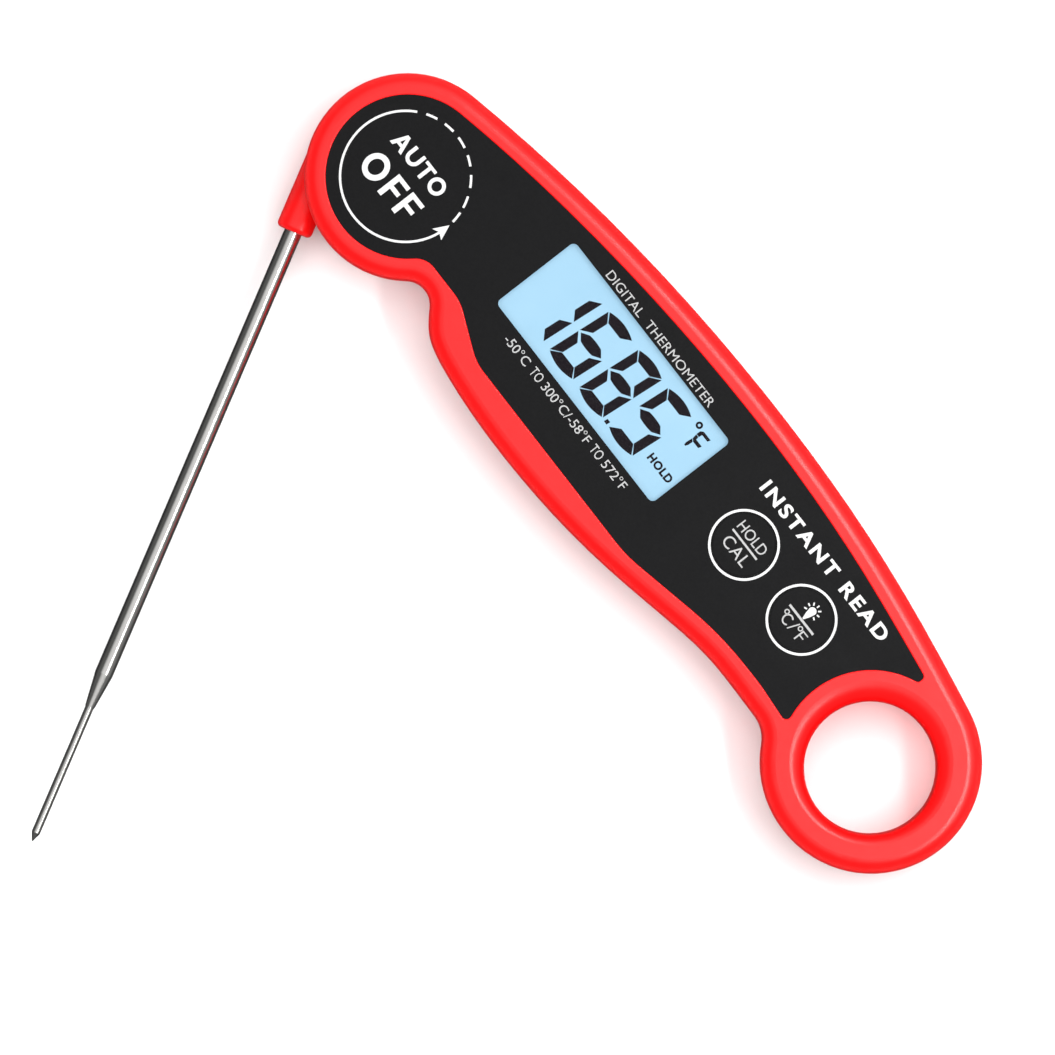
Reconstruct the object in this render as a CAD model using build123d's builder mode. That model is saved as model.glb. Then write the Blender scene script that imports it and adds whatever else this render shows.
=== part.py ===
"""Folding instant-read thermometer.

Origin on the flat rear face, under the probe's pivot. +X runs from the pivot to the hanging ring, +Y towards
the top of the lettering, +Z out of the display. The probe stands part-way open. Millimetres.
"""

from build123d import *
from math import cos, radians, sin, sqrt
import os

os.makedirs("parts", exist_ok=True)

# ---- Case: heights -------------------------------------------------------------------------------
CASE_TOP = 19.6          # front rim
RECESS_FLOOR = 18.9      # the panel lies on this
PANEL_TOP = 19.4         # the panel sits a little below the rim
DECK_UNDER = 17.2        # underside of the front deck
PARTING = 12.0           # where the two halves meet
SLOT_FLOOR = 3.6         # top of the rear lip, below the probe slot
REAR_FLOOR = 2.0         # thickness of the rear wall inside the case
WALL = 2.0

# ---- Case: outline -------------------------------------------------------------------------------
HEAD_R = 17.8
RING = (128.25, 1.1)
RING_R = 19.05
HOLE = (128.85, 0.45)
HOLE_R = 11.4
WAIST_R = 4.2            # concave arc between head and belly
WAIST_ANGLE = -39        # direction from the pivot to that arc
WAIST_LEAVE = 46         # where the belly leaves that arc
NECK_R = 6.3             # concave arc between belly and ring
NECK_ANGLE = 222.8       # direction from the ring to that arc
HEAD_LEAVE = 102.5       # where the top edge leaves the head
RING_MEET = 80           # where the top edge meets the ring
FRONT_EDGE_R = 2.6
LIP_R = 14.1            # top of the hole's front lip, which shares the ring's centre
LIP_DEPTH = 2.7
REAR_EDGE_R = 2.0
REAR_HOLE_EDGE_R = 1.2
PARTING_EDGE_R = 0.3
RIM_EDGE_R = 0.2
BEYOND = 80              # longer than any cut across the case

# ---- Panel, window and buttons -------------------------------------------------------------------
PANEL_HEAD_R = 14.1
PANEL_RING_R = 15.95
PANEL_WAIST_Y = -6.0
PANEL_BELLY_Y = -10.27
PANEL_END_X = 122.3
WINDOW = (48.15, 7.24)
WINDOW_SIZE = (43.6, 17.1)
WINDOW_CORNER_R = 1.0
DISPLAY_SIZE = (46.4, 19.9)
DISPLAY_Z = (16.2, 18.05)
LENS_FLANGE_Z = 18.1
FRAME_SIZE = (48.8, 22.2)
DECK_OPENING = (46.8, 20.2)
BUTTONS = {"hold": (85.3, 6.8), "light": (101.5, 6.7)}
BUTTON_R = 5.4
BUTTON_GAP = 0.1
BUTTON_SEAT_Z = 17.95    # floor of the pocket that a button sinks into
PLUNGER_HEAD = (5.0, 18.45)
PLUNGER_STEM = (3.5, 15.3)
SWITCH_STEM = (1.5, 14.7)
SWITCH_TOP = 14.8
SWITCH_SIZE = 6.0

# ---- Probe and pivot -----------------------------------------------------------------------------
PROBE_ANGLE = -61.05     # direction of the probe from +X, as it stands
PROBE_OFFSET = 14.45     # from the pivot to the probe's axis
PROBE_Z = 7.8
HUB_R = 17.6
HUB_Z = (3.9, 11.7)
HUB_CLEAR_R = 18.0
HUB_EDGE_R = 0.6
POST_R = 4.0
RUNNING_GAP = 0.05
POST_TOP = 9.75
ARM_WIDTH = 6.35
ARM_HEIGHT = 7.0
ARM_CORNER_R = 2.8
ARM_END = 16.4           # along the probe, from the foot of the perpendicular
TUBE_R = 1.575
TUBE_BORE_R = 1.275
TUBE_START = 2.4
NECK_START = 99.1
NECK_END = 105.3
TIP_R = 0.75
TIP_BORE_R = 0.5
CONE_START = 128.8
PROBE_END = 130.4
SLOT_SIDE = -12.2        # inner side of the slot that takes the folded probe
SLOT_END = 132.4
CORE_TOP_X = 5.0         # the wall round the hub starts here at the top
CORE_WAIST_X = 16.0      # and here at the waist
STOP_R = 14.0
STOP_GROOVE_R = 1.3
STOP_GROOVE_DEPTH = 1.2
STOP_LUG_Z = SLOT_FLOOR - 0.9
HUB_RECESS_R = 7.6       # round the retaining washer
SEAL_R = (15.2, 15.9)
SEAL_Z = (11.0, 11.9)
FOLD_MAGNET = (13.0, 60) # distance and direction from the pivot, with the probe folded
FOLD_MAGNET_R = 1.5
FOLD_MAGNET_POCKET = 2.0
FOLD_MAGNET_HEIGHT = 1.9
TROUGH_X = (-0.8, 2.4)
TROUGH_Z = (6.4, 11.35)
TROUGH_LENGTH = 7.9
BEAD_START = 126.0
WIRE_TOP_Z = 10.8
WIRE_R = 0.14
WIRE_SIDE_STEP = 0.2

# ---- Board, battery and fixings ------------------------------------------------------------------
BOARD_Z = (12.3, 13.9)
BOARD_X = (20.0, 113.0)
BOARD_INSET = WALL + 0.4
BATTERY = (92.0, 6.5)
CELL_R = 10.0
CELL_Z = (4.1, 7.3)
DOOR_R = 13.3
DOOR_Z = (0.1, 1.6)
DOOR_FLANGE_Z = (1.7, 2.8)
DOOR_NECK_R = 11.0
LUG_R = 12.0
LUG_Z = (2.95, 3.85)
DOOR_TURN = 45
DOOR_GAP = 0.1
DOOR_EDGE_R = 0.5
DOOR_LUGS = 3
MAGNETS = [(38.0, 5.0), (61.0, 5.0)]
MAGNET_R = 5.0
MAGNET_Z = (0.2, 2.2)
MAGNET_BOSS = 1.5        # wall round a magnet and over it
MAGNET_GAP = 0.05
CASE_SCREWS = [
    (21.0, 14.5), (23.2, -7.0), (75.8, 18.6), (75.8, -6.2), (110.6, 12.5), (109.0, -3.6), (139.3, 11.6),
]
BOARD_SCREWS = [(76.0, 7.2), (109.6, 4.4), (93.4, 16.0), (93.4, -4.2)]
PLATE_SCREWS = PolarLocations(12.2, 3, start_angle=100)
PLATE_Z = (12.0, 13.4)
SCREW_BOSS_R = 3.1
FRONT_BOSS_R = 2.3
BOARD_BOSS_R = 1.8
PLATE_BOSS_R = 1.9
SCREW_GAP = 0.05         # round a shank
COUNTERBORE_GAP = 0.2    # round a head
GASKET_INSET = (0.65, 1.35)
GASKET_Z = (11.5, 12.0)
WELL_R = 12.2            # inside of the wall round the cell
WELL_TOP = 8.6
LUG_HALF_ANGLE = 15
WELL_WALL = 1.4
DOOR_SEAL_R = 12.5
DOOR_SEAL_GROOVE = (0.76, 0.7)   # width and depth
DOOR_SEAL_SECTION_R = 0.36
COIN_SLOT = (17.0, 2.0)
COIN_SLOT_DEPTH = 1.1
COIN_SLOT_ANGLE = 20
# Each screw: its head, the height of the seat under the head, and the height of its tip.
CASE_SCREW = {"head_r": 1.9, "seat": 4.0, "head_height": 1.4, "shank_r": 1.0, "tip": 15.5}
BOARD_SCREW = {"head_r": 1.6, "seat": 12.3, "head_height": 1.0, "shank_r": 0.8, "tip": 16.5}
PLATE_SCREW = {"head_r": 1.5, "seat": 12.9, "head_height": 0.85, "shank_r": 0.8, "tip": 16.5}
PIVOT_SCREW = {"head_r": 2.4, "seat": 10.25, "head_height": 1.3, "shank_r": 1.25, "tip": 5.0}


def on_circle(centre, radius, angle):
    """Point on a circle, by its angle from +X."""
    return (centre[0] + radius * cos(radians(angle)), centre[1] + radius * sin(radians(angle)))


def level(height):
    return Plane.XY.offset(height)


def save(name, piece):
    piece.part.label = name
    export_step(piece.part, f"parts/{name}.step")


def disc(centre, radius, low, high, bore=0.0):
    """Upright disc or ring between two heights."""
    with BuildPart() as piece:
        with BuildSketch(level(low)):
            with Locations(centre):
                Circle(radius)
                if bore:
                    Circle(bore, mode=Mode.SUBTRACT)
        extrude(amount=high - low)
    return piece


def slab(sketch, low, high):
    """Any flat sketch, extruded between two heights."""
    with BuildPart() as piece:
        with BuildSketch(level(low)):
            add(sketch)
        extrude(amount=high - low)
    return piece


def box(centre, size, low, high, corner=0.0):
    """Upright block between two heights, with rounded corners if wanted."""
    with BuildPart() as piece:
        with BuildSketch(level(low)):
            with Locations(centre):
                if corner:
                    RectangleRounded(*size, corner)
                else:
                    Rectangle(*size)
        extrude(amount=high - low)
    return piece


def sector(centre, inner, outer, middle, half_angle):
    """Part of a ring, centred on a direction."""
    with BuildSketch() as piece:
        with BuildLine():
            CenterArc(centre, outer, middle - half_angle, 2 * half_angle)
            CenterArc(centre, inner, middle - half_angle, 2 * half_angle)
            for side in (-half_angle, half_angle):
                Line(on_circle(centre, inner, middle + side), on_circle(centre, outer, middle + side))
        make_face()
    return piece.sketch


def screws(places, head_r, seat, head_height, shank_r, tip):
    """Cross-head screws, one solid at each place; a tip above the seat points up."""
    up = 1 if tip > seat else -1
    with BuildPart() as group:
        with BuildSketch(level(seat)):
            with places:
                Circle(head_r)
        extrude(amount=-up * head_height)
        with BuildSketch(level(seat)):
            with places:
                Circle(shank_r)
        extrude(amount=tip - seat)
        with BuildSketch(level(seat - up * head_height)):
            with places:
                Rectangle(1.3 * head_r, 0.28 * head_r)
                Rectangle(0.28 * head_r, 1.3 * head_r)
        extrude(amount=up * 0.5 * head_height, mode=Mode.SUBTRACT)
    return group


# The probe's own frame: x along the folded probe, origin at the pivot.
hub_frame = Plane.XY.rotated((0, 0, PROBE_ANGLE))
forward = hub_frame.x_dir
across = hub_frame.y_dir


def hub_level(height):
    return hub_frame.offset(height)


def along_probe(distance):
    """Point on the probe's axis."""
    return hub_frame.from_local_coords((distance, -PROBE_OFFSET, PROBE_Z))


probe_plane = Plane(origin=along_probe(0), x_dir=forward, z_dir=(0, 0, 1))
probe_axis = Axis(along_probe(0), forward)

# ==================================================================================================
# Outlines
# ==================================================================================================
waist = on_circle((0, 0), HEAD_R + WAIST_R, WAIST_ANGLE)
neck = on_circle(RING, RING_R + NECK_R, NECK_ANGLE)
top_start = on_circle((0, 0), HEAD_R, HEAD_LEAVE)
top_end = on_circle(RING, RING_R, RING_MEET)
belly_start = on_circle(neck, NECK_R, 90)
belly_end = on_circle(waist, WAIST_R, WAIST_LEAVE)

top_curve = Spline(
    top_start, (33, 23.5), (70, 25.62), (103, 24.1), top_end,
    tangents=[
        (sin(radians(HEAD_LEAVE)), -cos(radians(HEAD_LEAVE))),
        (sin(radians(RING_MEET)), -cos(radians(RING_MEET))),
    ],
)
belly_curve = Spline(
    belly_start, (97, -9.9), (85, -12.0), (70, -14.85), (48, -16.5), (32, -15.7), (25.2, -14.4), belly_end,
    tangents=[(-1, 0), (-sin(radians(WAIST_LEAVE)), cos(radians(WAIST_LEAVE)))],
)


def moved_in(curve, inset, points=9):
    """A curve of the outline, or one at a distance inside it."""
    if not inset:
        return add(curve)
    steps = [step / (points - 1) for step in range(points)]
    inwards = [Vector((curve % step).Y, -(curve % step).X) for step in steps]
    return Spline(
        *[curve @ step + inwards[i] * inset for i, step in enumerate(steps)], tangents=[curve % 0, curve % 1]
    )


def case_outline(inset=0.0):
    with BuildSketch() as piece:
        with BuildLine():
            moved_in(top_curve, inset)
            CenterArc(RING, RING_R - inset, RING_MEET, -(360 + RING_MEET - NECK_ANGLE))
            CenterArc(neck, NECK_R + inset, NECK_ANGLE - 180, 270 - NECK_ANGLE)
            moved_in(belly_curve, inset)
            CenterArc(waist, WAIST_R + inset, WAIST_LEAVE, 180 + WAIST_ANGLE - WAIST_LEAVE)
            CenterArc((0, 0), HEAD_R - inset, WAIST_ANGLE, -(360 + WAIST_ANGLE - HEAD_LEAVE))
        make_face()
    return piece.sketch


def core_region(inset):
    """The case at the level of the slot, or its inside: cut back where the head and folded probe lie."""
    with BuildSketch() as region:
        add(case_outline(inset))
        Circle(HUB_CLEAR_R + inset, mode=Mode.SUBTRACT)
        with Locations((-HEAD_R, 0)):
            Rectangle(
                HEAD_R + CORE_TOP_X + inset, BEYOND, align=(Align.MIN, Align.CENTER), mode=Mode.SUBTRACT
            )
        Rectangle(CORE_WAIST_X + inset, BEYOND, align=(Align.MIN, Align.MAX), mode=Mode.SUBTRACT)
        with Locations((0, SLOT_SIDE + inset)):
            Rectangle(SLOT_END + inset, BEYOND, align=(Align.MIN, Align.MAX), mode=Mode.SUBTRACT)
    return region.sketch


def ring_hole(radius):
    with BuildSketch() as hole:
        with Locations(HOLE):
            Circle(radius)
    return hole.sketch


with BuildSketch() as core:
    add(core_region(0))

# Inside of the rear half.
with BuildSketch() as rear_cavity:
    add(core_region(WALL))
    add(ring_hole(HOLE_R + WALL), mode=Mode.SUBTRACT)

# Inside of the front half: it keeps a solid lip over the slot.
with BuildSketch() as front_cavity:
    add(case_outline(WALL))
    add(ring_hole(HOLE_R + WALL), mode=Mode.SUBTRACT)
    with Locations((CORE_WAIST_X, SLOT_SIDE + WALL)):
        Rectangle(SLOT_END + WALL - CORE_WAIST_X, BEYOND, align=(Align.MIN, Align.MAX), mode=Mode.SUBTRACT)

# The sunk panel: round at the head, flat along the belly, hollow round the ring.
panel_waist = (sqrt(PANEL_HEAD_R**2 - PANEL_WAIST_Y**2), PANEL_WAIST_Y)
panel_inside_ring = (118.0, -6.57)
panel_corners = {
    (22.5, PANEL_WAIST_Y): 9.0,
    (32.4, PANEL_BELLY_Y): 10.0,
    (74.2, PANEL_BELLY_Y): 25.0,
    (95.0, -5.78): 65.0,
    (106.0, -5.67): 30.0,
}
with BuildSketch() as panel:
    with BuildLine():
        top_edge = Spline(
            on_circle((0, 0), PANEL_HEAD_R, HEAD_LEAVE), (33, 19.5), (70, 21.55), (100, 20.2),
            (PANEL_END_X, 17.35),
            tangents=[(sin(radians(HEAD_LEAVE)), -cos(radians(HEAD_LEAVE))), (1, -0.14)],
        )
        Polyline(top_edge @ 1, (PANEL_END_X, 0), panel_inside_ring, *reversed(panel_corners), panel_waist)
        ThreePointArc(panel_waist, (-PANEL_HEAD_R, 0), top_edge @ 0)
    make_face()
    with Locations(RING):
        Circle(PANEL_RING_R, mode=Mode.SUBTRACT)
    for corner, radius in panel_corners.items():
        fillet(panel.vertices().sort_by_distance(corner)[0], radius)
    fillet(panel.vertices().sort_by_distance(panel_waist)[0], 4.0)
    for tip, radius in (((114.0, -6.2), 0.9), ((PANEL_END_X, 15.9), 0.7), ((PANEL_END_X, 17.35), 0.8)):
        fillet(panel.vertices().sort_by_distance(tip)[0], radius)

# Seal between the halves, a loop just inside the edge of the core.
with BuildSketch() as gasket:
    add(core_region(GASKET_INSET[0]))
    add(core_region(GASKET_INSET[1]), mode=Mode.SUBTRACT)
    add(ring_hole(HOLE_R + GASKET_INSET[0]), mode=Mode.SUBTRACT)

with BuildSketch() as window:
    with Locations(WINDOW):
        RectangleRounded(*WINDOW_SIZE, WINDOW_CORNER_R)

# ==================================================================================================
# Case
# ==================================================================================================
# What the front half loses at the hole: its lip is a quarter of an oval in section, widest at the panel.
with BuildPart() as lip:
    for turn in range(0, 91, 10):
        share = 1 - cos(radians(turn))
        middle = tuple(start + (end - start) * share for start, end in zip(HOLE, RING))
        with BuildSketch(level(CASE_TOP - LIP_DEPTH * (1 - sin(radians(turn))))):
            with Locations(middle):
                Circle(HOLE_R + (LIP_R - HOLE_R) * share)
    loft()
with BuildPart() as front_hole:
    with BuildSketch(level(PARTING - 1)):
        add(ring_hole(HOLE_R))
    extrude(amount=CASE_TOP - LIP_DEPTH - PARTING + 1)
    add(lip)

with BuildPart() as front_shell:
    with BuildSketch(level(PARTING)):
        add(case_outline())
    extrude(amount=CASE_TOP - PARTING)
    fillet(front_shell.faces().sort_by(Axis.Z)[-1].outer_wire().edges(), FRONT_EDGE_R)
    fillet(front_shell.faces().sort_by(Axis.Z)[0].outer_wire().edges(), PARTING_EDGE_R)
    add(front_hole, mode=Mode.SUBTRACT)
    with BuildSketch(level(RECESS_FLOOR)):
        add(panel.sketch)
    extrude(amount=CASE_TOP - RECESS_FLOOR, mode=Mode.SUBTRACT)
    rim = front_shell.faces().sort_by(Axis.Z)[-1]
    fillet(rim.inner_wires().sort_by(SortBy.LENGTH)[-1].edges(), RIM_EDGE_R)
    with BuildSketch(level(PARTING)):
        add(front_cavity.sketch)
    extrude(amount=DECK_UNDER - PARTING, mode=Mode.SUBTRACT)
    with BuildSketch(level(DECK_UNDER)):
        with Locations(WINDOW):
            RectangleRounded(*DECK_OPENING, WINDOW_CORNER_R)
    extrude(amount=RECESS_FLOOR - DECK_UNDER, mode=Mode.SUBTRACT)
    with BuildSketch(level(BUTTON_SEAT_Z)):
        with Locations(*BUTTONS.values()):
            Circle(BUTTON_R + 2 * BUTTON_GAP)
    extrude(amount=RECESS_FLOOR - BUTTON_SEAT_Z, mode=Mode.SUBTRACT)
    with BuildSketch(level(DECK_UNDER)):
        with Locations(*BUTTONS.values()):
            Circle(PLUNGER_STEM[0] + BUTTON_GAP)
    extrude(amount=BUTTON_SEAT_Z - DECK_UNDER, mode=Mode.SUBTRACT)
    # Bosses for the case screws, the board screws and the pivot plate's screws.
    with BuildSketch(level(PARTING)):
        with Locations(*CASE_SCREWS):
            Circle(FRONT_BOSS_R)
    extrude(amount=DECK_UNDER - PARTING)
    with BuildSketch(level(BOARD_Z[1])):
        with Locations(*BOARD_SCREWS):
            Circle(BOARD_BOSS_R)
    extrude(amount=DECK_UNDER - BOARD_Z[1])
    with BuildSketch(level(PLATE_Z[1])):
        with PLATE_SCREWS:
            Circle(PLATE_BOSS_R)
    extrude(amount=DECK_UNDER - PLATE_Z[1])
    with BuildSketch(level(PARTING)):
        with Locations(*CASE_SCREWS):
            Circle(CASE_SCREW["shank_r"])
    extrude(amount=CASE_SCREW["tip"] - PARTING, mode=Mode.SUBTRACT)
    with BuildSketch(level(PARTING)):
        with Locations(*BOARD_SCREWS):
            Circle(BOARD_SCREW["shank_r"])
        with PLATE_SCREWS:
            Circle(PLATE_SCREW["shank_r"])
    extrude(amount=BOARD_SCREW["tip"] - PARTING, mode=Mode.SUBTRACT)
save("front_shell", front_shell)

with BuildPart() as rear_shell:
    with BuildSketch():
        add(case_outline())
        add(ring_hole(HOLE_R), mode=Mode.SUBTRACT)
    extrude(amount=SLOT_FLOOR)
    fillet(rear_shell.faces().sort_by(Axis.Z)[0].outer_wire().edges(), REAR_EDGE_R)
    fillet(rear_shell.faces().sort_by(Axis.Z)[0].inner_wires()[0].edges(), REAR_HOLE_EDGE_R)
    with BuildSketch(level(SLOT_FLOOR)):
        add(core.sketch)
        add(ring_hole(HOLE_R), mode=Mode.SUBTRACT)
        Circle(POST_R)
    extrude(amount=PARTING - SLOT_FLOOR)
    with BuildSketch(level(POST_TOP)):
        Circle(POST_R)
    extrude(amount=PARTING - POST_TOP, mode=Mode.SUBTRACT)
    with BuildSketch(level(REAR_FLOOR)):
        add(rear_cavity.sketch)
    extrude(amount=PARTING - REAR_FLOOR, mode=Mode.SUBTRACT)
    # Groove that stops the hub at each end of its half turn, and the pivot screw's hole.
    with BuildSketch(level(SLOT_FLOOR - STOP_GROOVE_DEPTH)):
        SlotArc(CenterArc((0, 0), STOP_R, -90, 180), 2 * STOP_GROOVE_R)
    extrude(amount=STOP_GROOVE_DEPTH, mode=Mode.SUBTRACT)
    with BuildSketch(level(PIVOT_SCREW["tip"])):
        Circle(PIVOT_SCREW["shank_r"])
    extrude(amount=POST_TOP - PIVOT_SCREW["tip"], mode=Mode.SUBTRACT)
    # Bosses for the magnets, the case screws and the door, then the wall round the cell.
    with BuildSketch(level(REAR_FLOOR)):
        with Locations(*MAGNETS):
            Circle(MAGNET_R + MAGNET_BOSS)
    extrude(amount=MAGNET_BOSS)
    with BuildSketch(level(REAR_FLOOR)):
        with Locations(*CASE_SCREWS):
            Circle(SCREW_BOSS_R)
    extrude(amount=PARTING - REAR_FLOOR)
    with BuildSketch(level(REAR_FLOOR)):
        with Locations(BATTERY):
            Circle(DOOR_R + WELL_WALL)
    extrude(amount=DOOR_FLANGE_Z[1] - REAR_FLOOR)
    with BuildSketch(level(DOOR_FLANGE_Z[1])):
        with Locations(BATTERY):
            Circle(WELL_R + WELL_WALL)
            Circle(WELL_R, mode=Mode.SUBTRACT)
    extrude(amount=WELL_TOP - DOOR_FLANGE_Z[1])
    # Holes from the rear: door recess, door opening with three entries for the lugs, magnets, screw heads.
    with BuildSketch():
        with Locations(BATTERY):
            Circle(DOOR_R + DOOR_GAP)
        with Locations(*MAGNETS):
            Circle(MAGNET_R + MAGNET_GAP)
    extrude(amount=DOOR_FLANGE_Z[0], mode=Mode.SUBTRACT)
    with BuildSketch():
        with Locations(*MAGNETS):
            Circle(MAGNET_R + MAGNET_GAP)
    extrude(amount=MAGNET_Z[1], mode=Mode.SUBTRACT)
    with BuildSketch():
        with Locations(BATTERY):
            Circle(DOOR_NECK_R + DOOR_GAP)
        for lug in range(DOOR_LUGS):
            entry = lug * 360 / DOOR_LUGS - DOOR_TURN
            add(sector(BATTERY, DOOR_NECK_R - 1, LUG_R + DOOR_GAP, entry, LUG_HALF_ANGLE + 3))
    extrude(amount=DOOR_FLANGE_Z[1], mode=Mode.SUBTRACT)
    with BuildSketch():
        with Locations(*CASE_SCREWS):
            Circle(CASE_SCREW["head_r"] + COUNTERBORE_GAP)
    extrude(amount=CASE_SCREW["seat"], mode=Mode.SUBTRACT)
    with BuildSketch(level(CASE_SCREW["seat"])):
        with Locations(*CASE_SCREWS):
            Circle(CASE_SCREW["shank_r"] + SCREW_GAP)
    extrude(amount=PARTING - CASE_SCREW["seat"], mode=Mode.SUBTRACT)
    with BuildSketch(level(GASKET_Z[0])):
        add(gasket.sketch)
    extrude(amount=GASKET_Z[1] - GASKET_Z[0], mode=Mode.SUBTRACT)
save("rear_shell", rear_shell)

body_gasket = slab(gasket.sketch, *GASKET_Z)
save("body_gasket", body_gasket)

# Closes the head over the hub; the sensor wires come up through its middle.
with BuildPart() as pivot_plate:
    with BuildSketch(level(PLATE_Z[0])):
        add(case_outline(WALL + 0.1))
        Circle(HUB_CLEAR_R + 1.9, mode=Mode.INTERSECT)
        Circle(5.5, mode=Mode.SUBTRACT)
        with PLATE_SCREWS:
            Circle(PLATE_SCREW["shank_r"] + SCREW_GAP, mode=Mode.SUBTRACT)
    extrude(amount=PLATE_Z[1] - PLATE_Z[0])
    with BuildSketch(level(PLATE_Z[0])):
        with PLATE_SCREWS:
            Circle(PLATE_SCREW["head_r"] + COUNTERBORE_GAP)
    extrude(amount=PLATE_SCREW["seat"] - PLATE_Z[0], mode=Mode.SUBTRACT)
save("pivot_plate", pivot_plate)

# ==================================================================================================
# Panel, window and display
# ==================================================================================================
with BuildPart() as panel_overlay:
    with BuildSketch(level(RECESS_FLOOR)):
        add(panel.sketch)
        add(window.sketch, mode=Mode.SUBTRACT)
        with Locations(*BUTTONS.values()):
            Circle(BUTTON_R + BUTTON_GAP, mode=Mode.SUBTRACT)
    extrude(amount=PANEL_TOP - RECESS_FLOOR)
save("panel_overlay", panel_overlay)

with BuildPart() as display_window:
    with BuildSketch(level(LENS_FLANGE_Z)):
        with Locations(WINDOW):
            RectangleRounded(DISPLAY_SIZE[0], DISPLAY_SIZE[1], WINDOW_CORNER_R)
    extrude(amount=RECESS_FLOOR - LENS_FLANGE_Z)
    with BuildSketch(level(RECESS_FLOOR)):
        add(window.sketch)
    extrude(amount=PANEL_TOP - RECESS_FLOOR)
save("display_window", display_window)

save("lcd_panel", box(WINDOW, DISPLAY_SIZE, *DISPLAY_Z, corner=0.6))

with BuildPart() as lcd_frame:
    with BuildSketch(level(BOARD_Z[1])):
        with Locations(WINDOW):
            RectangleRounded(*FRAME_SIZE, 0.8)
            Rectangle(44.4, 19.0, mode=Mode.SUBTRACT)
    extrude(amount=DECK_UNDER - BOARD_Z[1])
    with BuildSketch(level(DISPLAY_Z[0])):
        with Locations(WINDOW):
            RectangleRounded(DISPLAY_SIZE[0] + 0.2, DISPLAY_SIZE[1] + 0.2, 0.6)
    extrude(amount=DECK_UNDER - DISPLAY_Z[0], mode=Mode.SUBTRACT)
save("lcd_frame", lcd_frame)

plate_centre = (WINDOW[0] + 0.7, WINDOW[1])
save("backlight_plate", box(plate_centre, (41.0, 15.6), BOARD_Z[1], DISPLAY_Z[0], corner=0.5))

with BuildPart() as backlight_lamps:
    with BuildSketch(level(BOARD_Z[1])):
        with Locations((WINDOW[0] - 21.2, WINDOW[1] - 4), (WINDOW[0] - 21.2, WINDOW[1] + 4)):
            Rectangle(1.4, 3.0)
    extrude(amount=1.1)
save("backlight_lamps", backlight_lamps)

with BuildPart() as zebra_strips:
    with BuildSketch(level(BOARD_Z[1])):
        with Locations(WINDOW):
            with GridLocations(0, 17.4, 1, 2):
                Rectangle(43.6, 1.2)
    extrude(amount=DISPLAY_Z[0] - BOARD_Z[1])
save("zebra_strips", zebra_strips)

# ==================================================================================================
# Board and what it carries
# ==================================================================================================
with BuildPart() as main_board:
    with BuildSketch(level(BOARD_Z[0])):
        add(case_outline(BOARD_INSET))
        Circle(HUB_CLEAR_R + BOARD_INSET, mode=Mode.SUBTRACT)
        with Locations((-HEAD_R, 0)):
            Rectangle(HEAD_R + BOARD_X[0], BEYOND, align=(Align.MIN, Align.CENTER), mode=Mode.SUBTRACT)
        with Locations((0, SLOT_SIDE + BOARD_INSET)):
            Rectangle(SLOT_END, BEYOND, align=(Align.MIN, Align.MAX), mode=Mode.SUBTRACT)
        with Locations((BOARD_X[1], 0)):
            Rectangle(BEYOND, BEYOND, align=(Align.MIN, Align.CENTER), mode=Mode.SUBTRACT)
        with Locations(*CASE_SCREWS):
            Circle(FRONT_BOSS_R + 0.3, mode=Mode.SUBTRACT)
        with Locations(*BOARD_SCREWS):
            Circle(BOARD_SCREW["shank_r"] + SCREW_GAP, mode=Mode.SUBTRACT)
    extrude(amount=BOARD_Z[1] - BOARD_Z[0])
save("main_board", main_board)

save("controller_chip", box((55.0, 6.0), (9.0, 9.0), 11.1, BOARD_Z[0], corner=0.4))

# Resistors, capacitors and a clock crystal, on the underside of the board.
with BuildPart() as board_parts:
    with BuildSketch(level(11.6)):
        with Locations((46, 2)):
            with GridLocations(2.6, 3.2, 2, 4):
                Rectangle(1.2, 2.0)
        with Locations((64, 12), (64, 0)):
            Rectangle(3.2, 1.6)
    extrude(amount=BOARD_Z[0] - 11.6)
    with BuildSketch(level(9.9)):
        with Locations((64, 6)):
            SlotOverall(8.0, 3.0)
    extrude(amount=BOARD_Z[0] - 9.9)
save("board_parts", board_parts)

with BuildPart() as button_switches:
    with BuildSketch(level(BOARD_Z[1])):
        with Locations(*BUTTONS.values()):
            RectangleRounded(SWITCH_SIZE, SWITCH_SIZE, 0.4)
    extrude(amount=SWITCH_TOP - BOARD_Z[1])
    with BuildSketch(level(BOARD_Z[1] + 0.3)):
        with Locations(*BUTTONS.values()):
            Circle(SWITCH_STEM[0] + BUTTON_GAP)
    extrude(amount=SWITCH_TOP - BOARD_Z[1], mode=Mode.SUBTRACT)
save("button_switches", button_switches)

sensor_centre = on_circle((0, 0), *FOLD_MAGNET)
save("fold_sensor", box(sensor_centre, (3.0, 4.0), PLATE_Z[1], PLATE_Z[1] + 1.4, corner=0.3))
save("lead_connector", box((22.1, 0.0), (2.6, 5.0), BOARD_Z[1], BOARD_Z[1] + 2.4, corner=0.3))

with BuildPart() as sensor_lead:
    with BuildLine():
        lead = FilletPolyline((2.0, 0, 12.1), (2.0, 0, 15.1), (20.8, 0, 15.1), radius=2.0)
    with BuildSketch(Plane(origin=lead @ 0, z_dir=lead % 0)):
        Circle(0.5)
    sweep()
save("sensor_lead", sensor_lead)

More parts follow.
